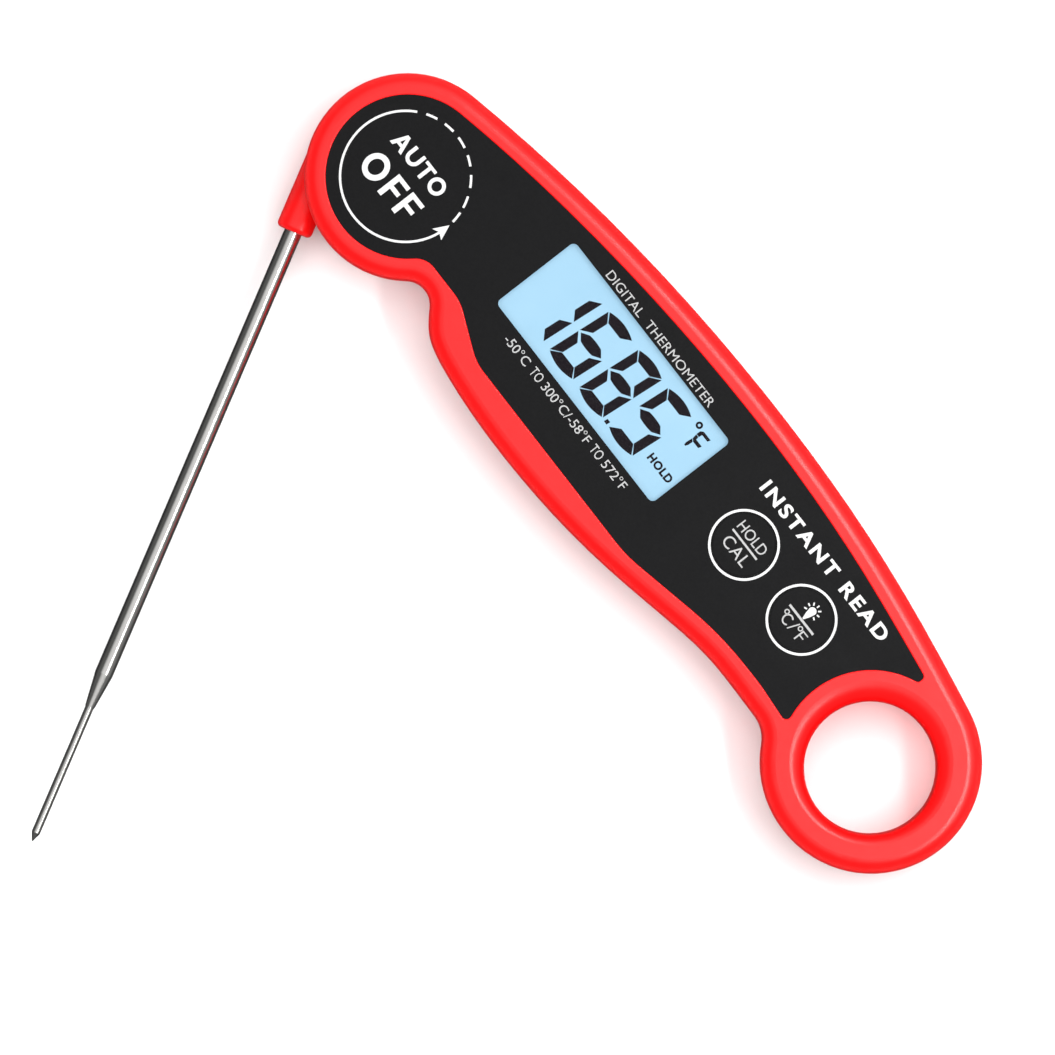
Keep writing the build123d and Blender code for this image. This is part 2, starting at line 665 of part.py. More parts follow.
# ==================================================================================================
# Buttons: a disc of the panel's film, its plunger, and the stem of the switch below
# ==================================================================================================
for name, place in BUTTONS.items():
    save(f"{name}_button", disc(place, BUTTON_R, RECESS_FLOOR, PANEL_TOP))
    with BuildPart() as plunger:
        with BuildSketch(level(PLUNGER_STEM[1])):
            with Locations(place):
                Circle(PLUNGER_STEM[0])
        extrude(amount=PLUNGER_HEAD[1] - PLUNGER_STEM[1])
        with BuildSketch(level(PLUNGER_HEAD[1])):
            with Locations(place):
                Circle(PLUNGER_HEAD[0])
        extrude(amount=RECESS_FLOOR - PLUNGER_HEAD[1])
    save(f"{name}_plunger", plunger)
    save(f"{name}_switch_stem", disc(place, SWITCH_STEM[0], SWITCH_STEM[1], PLUNGER_STEM[1]))

# ==================================================================================================
# Cell, its holder and contacts, and the door
# ==================================================================================================
with BuildPart() as coin_cell:
    with BuildSketch(level(CELL_Z[0])):
        with Locations(BATTERY):
            Circle(CELL_R)
    extrude(amount=CELL_Z[1] - CELL_Z[0] - 0.4)
    with BuildSketch(level(CELL_Z[1] - 0.4)):
        with Locations(BATTERY):
            Circle(CELL_R - 1.2)
    extrude(amount=0.4)
    fillet(coin_cell.edges().sort_by(Axis.Z)[0], 0.4)
save("coin_cell", coin_cell)

with BuildPart() as battery_holder:
    with BuildSketch(level(CELL_Z[0])):
        with Locations(BATTERY):
            Circle(WELL_R - 0.1)
    extrude(amount=WELL_TOP - CELL_Z[0])
    with BuildSketch(level(CELL_Z[0])):
        with Locations(BATTERY):
            Circle(CELL_R + 0.2)
    extrude(amount=CELL_Z[1] + 0.2 - CELL_Z[0], mode=Mode.SUBTRACT)
    with BuildSketch(level(CELL_Z[0])):
        with Locations(BATTERY):
            Circle(3.5)
        with Locations((BATTERY[0] - CELL_R - 1.2, BATTERY[1])):
            Rectangle(2.6, 4.4)
    extrude(amount=WELL_TOP - CELL_Z[0], mode=Mode.SUBTRACT)
save("battery_holder", battery_holder)

save("contact_plus", box((BATTERY[0] - CELL_R - 0.1, BATTERY[1]), (0.2, 4.0), CELL_Z[0] + 0.5, BOARD_Z[0]))

with BuildPart() as contact_minus:
    with BuildSketch(level(CELL_Z[1])):
        with Locations(BATTERY):
            Circle(3.2)
    extrude(amount=0.2)
    with BuildSketch(level(CELL_Z[1] + 0.2)):
        with Locations(BATTERY):
            Circle(0.6)
    extrude(amount=BOARD_Z[0] - CELL_Z[1] - 0.2)
save("contact_minus", contact_minus)

with BuildPart() as battery_door:
    with BuildSketch(level(DOOR_Z[0])):
        with Locations(BATTERY):
            Circle(DOOR_R)
    extrude(amount=DOOR_Z[1] - DOOR_Z[0])
    fillet(battery_door.edges().sort_by(Axis.Z)[0], DOOR_EDGE_R)
    with BuildSketch(level(DOOR_Z[1])):
        with Locations(BATTERY):
            Circle(DOOR_NECK_R)
    extrude(amount=LUG_Z[1] - DOOR_Z[1])
    with BuildSketch(level(LUG_Z[0])):
        for lug in range(DOOR_LUGS):
            add(sector(BATTERY, DOOR_NECK_R - 1, LUG_R, lug * 360 / DOOR_LUGS, LUG_HALF_ANGLE))
    extrude(amount=LUG_Z[1] - LUG_Z[0])
    with BuildSketch(level(DOOR_Z[1] - DOOR_SEAL_GROOVE[1])):
        with Locations(BATTERY):
            Circle(DOOR_SEAL_R + DOOR_SEAL_GROOVE[0] / 2)
            Circle(DOOR_SEAL_R - DOOR_SEAL_GROOVE[0] / 2, mode=Mode.SUBTRACT)
    extrude(amount=DOOR_SEAL_GROOVE[1], mode=Mode.SUBTRACT)
    with BuildSketch(level(DOOR_Z[0])):
        with Locations(BATTERY):
            SlotOverall(*COIN_SLOT, rotation=COIN_SLOT_ANGLE)
    extrude(amount=COIN_SLOT_DEPTH, mode=Mode.SUBTRACT)
save("battery_door", battery_door)

with BuildPart() as door_seal:
    with BuildSketch(Plane(origin=(*BATTERY, DOOR_Z[1] - 0.33), x_dir=(1, 0, 0), z_dir=(0, -1, 0))):
        with Locations((DOOR_SEAL_R, 0)):
            Circle(DOOR_SEAL_SECTION_R)
    revolve(axis=Axis((*BATTERY, 0), (0, 0, 1)))
save("door_seal", door_seal)

with BuildPart() as rear_magnets:
    with BuildSketch(level(MAGNET_Z[0])):
        with Locations(*MAGNETS):
            Circle(MAGNET_R)
    extrude(amount=MAGNET_Z[1] - MAGNET_Z[0])
    chamfer(rear_magnets.edges().group_by(Axis.Z)[0], 0.25)
save("rear_magnets", rear_magnets)

# ==================================================================================================
# Screws and the pivot's washers
# ==================================================================================================
save("case_screws", screws(Locations(*CASE_SCREWS), **CASE_SCREW))
save("board_screws", screws(Locations(*BOARD_SCREWS), **BOARD_SCREW))
save("plate_screws", screws(PLATE_SCREWS, **PLATE_SCREW))
save("pivot_screw", screws(Locations((0, 0)), **PIVOT_SCREW))
save("pivot_washer", disc((0, 0), 7.0, POST_TOP, PIVOT_SCREW["seat"], bore=PIVOT_SCREW["shank_r"]))
save("friction_washer", disc((0, 0), 7.5, SLOT_FLOOR, HUB_Z[0] - RUNNING_GAP, bore=POST_R + 0.3))

# ==================================================================================================
# Probe: hub with its arm, tube, tip, and what is inside them
# ==================================================================================================
with BuildPart() as probe_hub:
    with BuildSketch(hub_level(HUB_Z[0])):
        Circle(HUB_R)
    extrude(amount=HUB_Z[1] - HUB_Z[0])
    fillet(probe_hub.edges().group_by(Axis.Z)[0] + probe_hub.edges().group_by(Axis.Z)[-1], HUB_EDGE_R)
    with BuildSketch(Plane(origin=along_probe(0), x_dir=across, z_dir=forward)):
        RectangleRounded(ARM_WIDTH, ARM_HEIGHT, ARM_CORNER_R)
    extrude(amount=ARM_END)
    fillet(probe_hub.faces().sort_by(Axis(along_probe(0), forward))[-1].edges(), 0.9)
    with BuildSketch(hub_level(HUB_Z[0])):
        Circle(POST_R + RUNNING_GAP)
    extrude(amount=HUB_Z[1] - HUB_Z[0], mode=Mode.SUBTRACT)
    with BuildSketch(hub_level(POST_TOP - RUNNING_GAP)):
        Circle(HUB_RECESS_R)
    extrude(amount=HUB_Z[1] - POST_TOP + RUNNING_GAP, mode=Mode.SUBTRACT)
    # Socket for the tube, and the trough that takes the wires to the middle.
    with BuildSketch(Plane(origin=along_probe(TUBE_START), x_dir=across, z_dir=forward)):
        Circle(TUBE_R)
    extrude(amount=ARM_END - TUBE_START, mode=Mode.SUBTRACT)
    with BuildSketch(hub_level(TROUGH_Z[0])):
        with Locations((TROUGH_X[0], -HUB_RECESS_R + 0.6)):
            Rectangle(TROUGH_X[1] - TROUGH_X[0], TROUGH_LENGTH, align=(Align.MIN, Align.MAX))
    extrude(amount=HUB_Z[1] - TROUGH_Z[0], mode=Mode.SUBTRACT)
    with BuildSketch(hub_level(SEAL_Z[0])):
        Circle(SEAL_R[1])
        Circle(SEAL_R[0], mode=Mode.SUBTRACT)
    extrude(amount=HUB_Z[1] - SEAL_Z[0], mode=Mode.SUBTRACT)
    with BuildSketch(hub_level(HUB_Z[1] - FOLD_MAGNET_POCKET)):
        with Locations(on_circle((0, 0), *FOLD_MAGNET)):
            Circle(FOLD_MAGNET_R)
    extrude(amount=FOLD_MAGNET_POCKET, mode=Mode.SUBTRACT)
    with BuildSketch(hub_level(STOP_LUG_Z)):
        with Locations((0, STOP_R)):
            Circle(STOP_GROOVE_R - 0.3)
    extrude(amount=HUB_Z[0] - STOP_LUG_Z)
save("probe_hub", probe_hub)

save("hub_seal", disc((0, 0), SEAL_R[1], SEAL_Z[0], SEAL_Z[1], bore=SEAL_R[0]))

with BuildPart() as hub_magnet:
    with BuildSketch(hub_level(HUB_Z[1] - FOLD_MAGNET_POCKET)):
        with Locations(on_circle((0, 0), *FOLD_MAGNET)):
            Circle(FOLD_MAGNET_R)
    extrude(amount=FOLD_MAGNET_HEIGHT)
save("hub_magnet", hub_magnet)

with BuildPart() as probe_tube:
    with BuildSketch(probe_plane):
        with BuildLine():
            Polyline(
                (TUBE_START, TUBE_BORE_R), (TUBE_START, TUBE_R), (NECK_START, TUBE_R),
                (NECK_END, TIP_R + 0.1), (NECK_END, TIP_R), (NECK_END - 3.0, TIP_R),
                (NECK_START - 0.3, TUBE_BORE_R), close=True,
            )
        make_face()
    revolve(axis=probe_axis)
save("probe_tube", probe_tube)

with BuildPart() as probe_tip:
    with BuildSketch(probe_plane):
        with BuildLine():
            Polyline(
                (NECK_END - 2.0, TIP_BORE_R), (NECK_END - 2.0, TIP_R), (CONE_START, TIP_R),
                (PROBE_END, 0.08), (PROBE_END, 0), (CONE_START - 0.8, 0), (CONE_START - 0.8, TIP_BORE_R),
                close=True,
            )
        make_face()
    revolve(axis=probe_axis)
save("probe_tip", probe_tip)

with BuildPart() as thermistor:
    with BuildSketch(Plane(origin=along_probe(BEAD_START), x_dir=across, z_dir=forward)):
        Circle(0.45)
    extrude(amount=CONE_START - 1.2 - BEAD_START)
    fillet(thermistor.edges().filter_by(GeomType.CIRCLE), 0.2)
save("thermistor", thermistor)

# Two strands side by side, from the bead through the tube, then along the trough and up at the pivot.
wire_route = [
    (BEAD_START - 0.3, -PROBE_OFFSET, PROBE_Z), (0.8, -PROBE_OFFSET, PROBE_Z), (0.8, -11.2, PROBE_Z),
    (0.8, -9.2, WIRE_TOP_Z), (0.8, -4.8, WIRE_TOP_Z), (0.8, -4.8, HUB_Z[1]),
]
with BuildPart() as sensor_wires:
    for side in (-WIRE_SIDE_STEP, WIRE_SIDE_STEP):
        with BuildLine():
            corners = [hub_frame.from_local_coords((x + side, y + side, z + side)) for x, y, z in wire_route]
            strand = FilletPolyline(*corners, radius=0.7)
        with BuildSketch(Plane(origin=strand @ 0, z_dir=strand % 0)):
            Circle(WIRE_R)
        sweep(path=strand)
save("sensor_wires", sensor_wires)

with BuildPart() as hub_potting:
    with BuildSketch(hub_level(TROUGH_Z[0])):
        with Locations((TROUGH_X[0], -HUB_RECESS_R - 0.2)):
            Rectangle(TROUGH_X[1] - TROUGH_X[0], TROUGH_LENGTH - 0.8, align=(Align.MIN, Align.MAX))
    extrude(amount=TROUGH_Z[1] - TROUGH_Z[0])
    add(sensor_wires.part, mode=Mode.SUBTRACT)
save("hub_potting", hub_potting)
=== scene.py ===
"""Looks of the folding thermometer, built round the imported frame.

Metres, in the frame's own axes: the origin lies on the rear face under the probe's pivot, +X runs to the
hanging ring, +Y to the top of the lettering and +Z out of the display.
"""

import math

import bmesh
import bpy
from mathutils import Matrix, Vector


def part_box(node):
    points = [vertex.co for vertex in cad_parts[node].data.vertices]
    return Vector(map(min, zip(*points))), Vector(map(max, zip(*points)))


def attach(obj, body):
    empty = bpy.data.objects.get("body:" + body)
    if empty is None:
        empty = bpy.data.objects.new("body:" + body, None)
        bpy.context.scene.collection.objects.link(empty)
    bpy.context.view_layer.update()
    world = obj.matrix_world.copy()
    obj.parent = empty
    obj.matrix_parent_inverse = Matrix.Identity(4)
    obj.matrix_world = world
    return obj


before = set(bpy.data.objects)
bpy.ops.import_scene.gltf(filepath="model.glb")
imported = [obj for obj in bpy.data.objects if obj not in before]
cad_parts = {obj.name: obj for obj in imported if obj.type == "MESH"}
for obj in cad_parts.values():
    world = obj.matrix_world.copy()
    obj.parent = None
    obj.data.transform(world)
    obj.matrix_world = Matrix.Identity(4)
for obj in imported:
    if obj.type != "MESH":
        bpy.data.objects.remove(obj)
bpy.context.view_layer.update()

MM = 0.001
INK_DEPTH = 0.03 * MM        # how far ink stands up from what it is printed on
INK_ROOT = 0.02 * MM         # and how far it is sunk in
SAME_POINT = 0.002 * MM      # points of a printed piece that are nearer than this become one
SHORTEST_EDGE = 0.001 * MM


def centre_of(node):
    low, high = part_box(node)
    return (low + high) / 2


def top_of(node):
    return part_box(node)[1].z


PANEL_TOP = top_of("panel_overlay")
DISPLAY_TOP = top_of("lcd_panel")
HOLD = centre_of("hold_button")
LIGHT = centre_of("light_button")
PROBE_WAY = (centre_of("probe_tip") - centre_of("probe_tube")).normalized()
PROBE_TURN = math.atan2(PROBE_WAY.y, PROBE_WAY.x)

# ======================================================================================================
# Camera, light and floor
# ======================================================================================================
VIEW_TURN = math.radians(52.15)      # the picture's right is this far round from the case's long axis
VIEW_CENTRE = Vector((60.15, -20.7, 19.4)) * MM
VIEW_WIDTH = 181.0 * MM
LENS = 900.0                         # this and the sensor are in the camera's own millimetres
SENSOR = 36.0
CLIP_START = 0.01
VIEW_DISTANCE = VIEW_WIDTH * LENS / SENSOR
picture_right = Vector((math.cos(VIEW_TURN), math.sin(VIEW_TURN), 0))
picture_up = Vector((-math.sin(VIEW_TURN), math.cos(VIEW_TURN), 0))

camera_data = bpy.data.cameras.new("camera")
camera_data.lens = LENS
camera_data.sensor_width = SENSOR
camera_data.clip_start = CLIP_START
camera = bpy.data.objects.new("camera", camera_data)
bpy.context.scene.collection.objects.link(camera)
camera.location = VIEW_CENTRE + Vector((0, 0, VIEW_DISTANCE))
camera.rotation_euler = (0, 0, VIEW_TURN)
bpy.context.scene.camera = camera
bpy.context.scene.view_settings.view_transform = "Standard"


def soft_light(name, size, power, right, up, height, mirrored):
    """Rectangular soft light, in metres and watts, placed by the picture's right and up.

    It points at the middle of the view. One that isn't mirrored lights matt surfaces only.
    """
    data = bpy.data.lights.new(name, "AREA")
    data.shape = "RECTANGLE"
    data.size, data.size_y = size
    data.energy = power
    lamp = bpy.data.objects.new(name, data)
    bpy.context.scene.collection.objects.link(lamp)
    lamp.location = VIEW_CENTRE + right * picture_right + up * picture_up + Vector((0, 0, height))
    lamp.rotation_euler = (VIEW_CENTRE - lamp.location).to_track_quat("-Z", "Y").to_euler()
    lamp.visible_glossy = mirrored
    data.cycles.use_multiple_importance_sampling = mirrored


# Only the narrow light and the sky are mirrored, so that the slopes stay a deep red.
soft_light("key_light", (1.6, 1.6), 24, 0.65, 0.6, 1.85, mirrored=False)
soft_light("fill_light", (2.0, 2.0), 34, -0.5, -0.3, 2.0, mirrored=False)
soft_light("edge_light", (0.42, 0.045), 1.2, 0.20, 0.01, 0.45, mirrored=True)

# A bright patch overhead, that leans to the picture's upper right, in a dim room that is lighter there.
SKY_LEAN = math.radians(18)
SKY_EDGE = (math.radians(56), math.radians(26))      # none beyond the first angle, full within the second
SKY_STRENGTH = 0.8
ROOM_STRENGTH = (0.13, 0.28)
ROOM_SPREAD = (-0.3, 0.7)
BELOW = (-0.2, 0.1)          # the room darkens below the horizon
BELOW_SHARE = 0.35
world = bpy.data.worlds.new("studio")
bpy.context.scene.world = world
world.use_nodes = True
world_nodes = world.node_tree.nodes
world_links = world.node_tree.links
direction = world_nodes.new("ShaderNodeTexCoord").outputs["Generated"]


def glow(axis, start, end, low, high):
    """Strength that rises smoothly as the direction's part along an axis goes from start to end."""
    along = world_nodes.new("ShaderNodeVectorMath")
    along.operation = "DOT_PRODUCT"
    world_links.new(direction, along.inputs[0])
    along.inputs[1].default_value = axis
    rise = world_nodes.new("ShaderNodeMapRange")
    rise.interpolation_type = "SMOOTHSTEP"
    for socket, value in (("From Min", start), ("From Max", end), ("To Min", low), ("To Max", high)):
        rise.inputs[socket].default_value = value
    world_links.new(along.outputs["Value"], rise.inputs["Value"])
    return rise.outputs["Result"]


bright_side = (picture_up + picture_right).normalized()
sky_axis = math.sin(SKY_LEAN) * bright_side + Vector((0, 0, math.cos(SKY_LEAN)))
sky = glow(sky_axis, math.cos(SKY_EDGE[0]), math.cos(SKY_EDGE[1]), 0, SKY_STRENGTH)
room = glow(bright_side, *ROOM_SPREAD, *ROOM_STRENGTH)
above = glow(Vector((0, 0, 1)), *BELOW, BELOW_SHARE, 1)
room_and_sky = world_nodes.new("ShaderNodeMath")
room_and_sky.operation = "MULTIPLY_ADD"
for value, socket in zip((room, above, sky), room_and_sky.inputs):
    world_links.new(value, socket)
world_links.new(room_and_sky.outputs[0], world_nodes["Background"].inputs["Strength"])
world_nodes["Background"].inputs["Color"].default_value = (1, 1, 1, 1)


# ======================================================================================================
# Materials
# ======================================================================================================
class Finish:
    """A material on its way: its shader, and the patterns that feed it."""

    def __init__(self, name, **plain):
        self.material = bpy.data.materials.new(name)
        self.material.use_nodes = True
        self.nodes = self.material.node_tree.nodes
        self.links = self.material.node_tree.links
        self.shader = self.nodes["Principled BSDF"]
        self.place = self.nodes.new("ShaderNodeTexCoord").outputs["Object"]
        for socket, value in plain.items():
            self.shader.inputs[socket.replace("_", " ")].default_value = value

    def node(self, kind, inputs, **settings):
        made = self.nodes.new(kind)
        for setting, value in settings.items():
            setattr(made, setting, value)
        for socket, value in inputs.items():
            if isinstance(value, bpy.types.NodeSocket):
                self.links.new(value, made.inputs[socket])
            else:
                made.inputs[socket].default_value = value
        return made

    def turned(self, angle, stretch):
        """Object coordinates turned about Z, then scaled along each axis."""
        turned = self.node("ShaderNodeMapping", {"Vector": self.place, "Rotation": (0, 0, -angle)})
        return self.node("ShaderNodeMapping", {"Vector": turned.outputs[0], "Scale": stretch}).outputs[0]

    def noise(self, size, detail=3.0, place=None):
        """Smooth noise, by the size of its clouds in metres."""
        inputs = {"Vector": place or self.place, "Scale": 1 / size, "Detail": detail}
        return self.node("ShaderNodeTexNoise", inputs).outputs["Fac"]

    def spread(self, value, low, high):
        """Noise's middle range stretched to go from low to high."""
        inputs = {"Value": value, "From Min": 0.3, "From Max": 0.7, "To Min": low, "To Max": high}
        return self.node("ShaderNodeMapRange", inputs).outputs["Result"]

    def mixed(self, share, first, second):
        """Colour that goes from the first to the second as the share rises."""
        made = self.node("ShaderNodeMix", {"Factor": share}, data_type="RGBA")
        made.inputs[6].default_value = (*first, 1)
        made.inputs[7].default_value = (*second, 1)
        return made.outputs[2]

    def feed(self, socket, value):
        self.links.new(value, self.shader.inputs[socket])

    def bumps(self, value, depth):
        return self.node("ShaderNodeBump", {"Height": value, "Distance": depth}).outputs["Normal"]

    def relief(self, value, depth):
        self.feed("Normal", self.bumps(value, depth))


def red_plastic():
    """Glossy moulded plastic, a little cloudy."""
    finish = Finish("red_plastic")
    clouds = finish.spread(finish.noise(14 * MM), 0, 1)
    finish.feed("Base Color", finish.mixed(clouds, (0.88, 0.0042, 0.0050), (0.82, 0.0036, 0.0042)))
    finish.feed("Roughness", finish.spread(finish.noise(2 * MM), 0.285, 0.335))
    finish.relief(finish.noise(0.7 * MM, 1), 0.0012 * MM)
    return finish.material


def panel_film():
    """Matt black printed film with a fine grain."""
    finish = Finish("panel_film", Specular_IOR_Level=0.1)
    specks = finish.spread(finish.noise(0.35 * MM, 5), 0, 1)
    finish.feed("Base Color", finish.mixed(specks, (0.0038, 0.0038, 0.0041), (0.0056, 0.0056, 0.0060)))
    finish.feed("Roughness", finish.spread(finish.noise(5 * MM), 0.42, 0.52))
    finish.relief(finish.noise(0.12 * MM, 2), 0.004 * MM)
    return finish.material


def ink(name, brightness):
    """Screen-printed ink, a little uneven in its cover."""
    finish = Finish(name, Roughness=0.5)
    cover = finish.spread(finish.noise(0.25 * MM, 4), 0, 1)
    finish.feed("Base Color", finish.mixed(cover, (0.94 * brightness,) * 3, (brightness,) * 3))
    finish.relief(cover, 0.004 * MM)
    return finish.material


def clear_window():
    """Clear plastic that lets lamps through to the display."""
    finish = Finish("clear_window")
    smears = finish.noise(4 * MM, 2)
    normal = finish.bumps(smears, 0.006 * MM)
    rough = finish.spread(smears, 0.05, 0.1)
    shine = finish.node("ShaderNodeBsdfGlossy", {"Roughness": rough, "Normal": normal})
    clear = finish.node("ShaderNodeBsdfTransparent", {"Color": (0.97, 0.98, 0.98, 1)})
    share = finish.node("ShaderNodeFresnel", {"IOR": 1.12, "Normal": normal})
    both = finish.node("ShaderNodeMixShader", {0: share.outputs[0], 1: clear.outputs[0], 2: shine.outputs[0]})
    finish.links.new(both.outputs[0], finish.nodes["Material Output"].inputs["Surface"])
    finish.nodes.remove(finish.shader)
    return finish.material


def display_glass():
    """Lit display, a little uneven in its glow."""
    lit = {"Emission_Color": (0.40, 0.70, 0.94, 1), "Emission_Strength": 0.51}
    finish = Finish("display_glass", Roughness=0.3, **lit)
    glow = finish.spread(finish.noise(9 * MM, 1), 0, 1)
    finish.feed("Base Color", finish.mixed(glow, (0.13, 0.21, 0.27), (0.15, 0.23, 0.29)))
    finish.relief(finish.noise(0.1 * MM), 0.001 * MM)
    return finish.material


def display_ink():
    """Dark parts of the display's figures."""
    finish = Finish("display_ink", Roughness=0.55, Specular_IOR_Level=0.08)
    clouds = finish.noise(0.5 * MM)
    finish.feed("Base Color", finish.mixed(clouds, (0.005, 0.003, 0.005), (0.008, 0.005, 0.0075)))
    return finish.material


MARKS_ALONG, MARKS_ACROSS = 150, 9000   # marks in a metre


def steel(name, colour, rough, brushed=True):
    """Metal with a little staining, and fine marks that run along the probe if it is brushed."""
    finish = Finish(name, Metallic=1.0)
    stretch = (MARKS_ALONG, MARKS_ACROSS, MARKS_ACROSS)
    marks = finish.noise(1, 2, finish.turned(PROBE_TURN, stretch)) if brushed else finish.noise(0.1 * MM)
    stains = finish.spread(finish.noise(7 * MM), 0, 1)
    darker = tuple(0.88 * part for part in colour)
    finish.feed("Base Color", finish.mixed(stains, colour, darker))
    finish.feed("Roughness", finish.spread(marks, rough, rough + 0.08))
    finish.relief(marks, 0.0004 * MM)
    return finish.material


def moulded(name, colour, rough, grain=0.2 * MM, **plain):
    """Plain moulded or cast stuff: cloudy colour, uneven gloss and a fine grain."""
    finish = Finish(name, **plain)
    darker = tuple(0.8 * part for part in colour)
    finish.feed("Base Color", finish.mixed(finish.spread(finish.noise(3 * MM), 0, 1), colour, darker))
    finish.feed("Roughness", finish.spread(finish.noise(1.5 * MM), rough - 0.06, rough + 0.06))
    finish.relief(finish.noise(grain), 0.006 * MM)
    return finish.material


def board_laminate():
    """Green mask over fine copper tracks."""
    finish = Finish("board_laminate", Roughness=0.35)
    tracks = finish.node(
        "ShaderNodeTexBrick",
        {"Vector": finish.place, "Scale": 160.0, "Mortar Size": 0.06, "Brick Width": 0.8, "Row Height": 0.2},
    ).outputs["Fac"]
    finish.feed("Base Color", finish.mixed(tracks, (0.012, 0.10, 0.03), (0.05, 0.26, 0.07)))
    finish.relief(tracks, 0.03 * MM)
    return finish.material


LOOKS = {
    "red_plastic": red_plastic(),
    "panel_film": panel_film(),
    "clear_window": clear_window(),
    "display_glass": display_glass(),
    "white_plastic": moulded("white_plastic", (0.85, 0.85, 0.82), 0.35, Transmission_Weight=0.2),
    "black_plastic": moulded("black_plastic", (0.02, 0.02, 0.021), 0.45),
    "grey_plastic": moulded("grey_plastic", (0.30, 0.30, 0.31), 0.5),
    "seal_rubber": moulded("seal_rubber", (0.03, 0.03, 0.03), 0.75),
    "board_laminate": board_laminate(),
    "chip_resin": moulded("chip_resin", (0.02, 0.02, 0.022), 0.6, grain=0.08 * MM),
    "potting_resin": moulded("potting_resin", (0.55, 0.48, 0.34), 0.3, grain=1.5 * MM),
    "wire_cover": moulded("wire_cover", (0.65, 0.05, 0.04), 0.45, grain=0.05 * MM),
    "stainless": steel("stainless", (0.66, 0.65, 0.63), 0.16),
    "zinc_steel": steel("zinc_steel", (0.58, 0.58, 0.60), 0.3, brushed=False),
    "nickel_plate": steel("nickel_plate", (0.70, 0.67, 0.61), 0.18, brushed=False),
    "sensor_bead": moulded("sensor_bead", (0.22, 0.13, 0.07), 0.2, grain=0.3 * MM),
}
WHITE_INK = ink("white_ink", 0.60)
PALE_INK = ink("pale_ink", 0.38)
DISPLAY_INK = display_ink()

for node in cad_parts.values():
    for slot in node.material_slots:
        slot.material = LOOKS[slot.material.name]


# ======================================================================================================
# Printing
# ======================================================================================================
def ribbon(points, width):
    """Outline of a line of even width along an open path."""
    left, right = [], []
    for i, point in enumerate(points):
        along = Vector(points[min(i + 1, len(points) - 1)]) - Vector(points[max(i - 1, 0)])
        side = Vector((-along.y, along.x)).normalized() * width / 2
        left.append(tuple(Vector(point) + side))
        right.append(tuple(Vector(point) - side))
    return left + right[::-1]


def arc(centre, radii, start, end, steps):
    """Points round a circle or an ellipse, by angles in degrees."""
    angles = [math.radians(start + (end - start) * i / steps) for i in range(steps + 1)]
    return [(centre[0] + radii[0] * math.cos(a), centre[1] + radii[1] * math.sin(a)) for a in angles]


def ring(centre, outer, line, steps=96):
    """Outlines of a closed ring, by its outer half-widths."""
    inner = (outer[0] - line, outer[1] - line)
    return [arc(centre, radii, 0, 360, steps)[:-1] for radii in (outer, inner)]


def solid_of(curve):
    """Closed mesh of a filled and thickened flat curve, which is then removed."""
    curve.extrude = 0.5
    scratch = bpy.data.objects.new(curve.name + "_scratch", curve)
    bpy.context.scene.collection.objects.link(scratch)
    bpy.context.view_layer.update()
    mesh = bpy.data.meshes.new_from_object(scratch.evaluated_get(bpy.context.evaluated_depsgraph_get()))
    mesh.materials.clear()
    bpy.data.objects.remove(scratch)
    return mesh


def print_piece(name, mesh, place, material, body, level, depth=INK_DEPTH, root=INK_ROOT):
    """Piece from a flat solid: place(x, y) gives a point's place in metres."""
    for vertex in mesh.vertices:
        x, y = place(vertex.co.x, vertex.co.y)
        vertex.co = (x, y, level + (depth if vertex.co.z > 0 else -root))
    tidy = bmesh.new()
    tidy.from_mesh(mesh)
    bmesh.ops.remove_doubles(tidy, verts=tidy.verts, dist=SAME_POINT)
    bmesh.ops.dissolve_degenerate(tidy, edges=tidy.edges, dist=SHORTEST_EDGE)
    bmesh.ops.recalc_face_normals(tidy, faces=tidy.faces)
    tidy.to_mesh(mesh)
    tidy.free()
    mesh.materials.append(material)
    piece = bpy.data.objects.new(name, mesh)
    bpy.context.scene.collection.objects.link(piece)
    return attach(piece, body)


def drawn(name, body, outlines, material=WHITE_INK, level=PANEL_TOP, **heights):
    """Piece from closed outlines in millimetres; one inside another is a hole."""
    curve = bpy.data.curves.new(name, "CURVE")
    curve.dimensions = "2D"
    curve.fill_mode = "BOTH"
    for outline in outlines:
        spline = curve.splines.new("POLY")
        spline.points.add(len(outline) - 1)
        for point, (x, y) in zip(spline.points, outline):
            point.co = (x, y, 0, 1)
        spline.use_cyclic_u = True
    mesh = solid_of(curve)
    return print_piece(name, mesh, lambda x, y: (x * MM, y * MM), material, body, level, **heights)


def lettering(name, words, box, body, weight=0.0, spacing=1.0, material=WHITE_INK, level=PANEL_TOP,
              **heights):
    """Words that fill a box given in millimetres: left, right, bottom, top."""
    curve = bpy.data.curves.new(name, "FONT")
    curve.body = words
    curve.offset = weight
    curve.space_character = spacing
    curve.resolution_u = 6
    mesh = solid_of(curve)
    across = [vertex.co.x for vertex in mesh.vertices]
    up = [vertex.co.y for vertex in mesh.vertices]
    start, width = min(across), max(across) - min(across)
    foot, height = min(up), max(up) - min(up)
    left, right, bottom, top = (side * MM for side in box)

    def place(x, y):
        share_x, share_y = (x - start) / width, (y - foot) / height
        return left + (right - left) * share_x, bottom + (top - bottom) * share_y

    return print_piece(name, mesh, place, material, body, level, **heights)


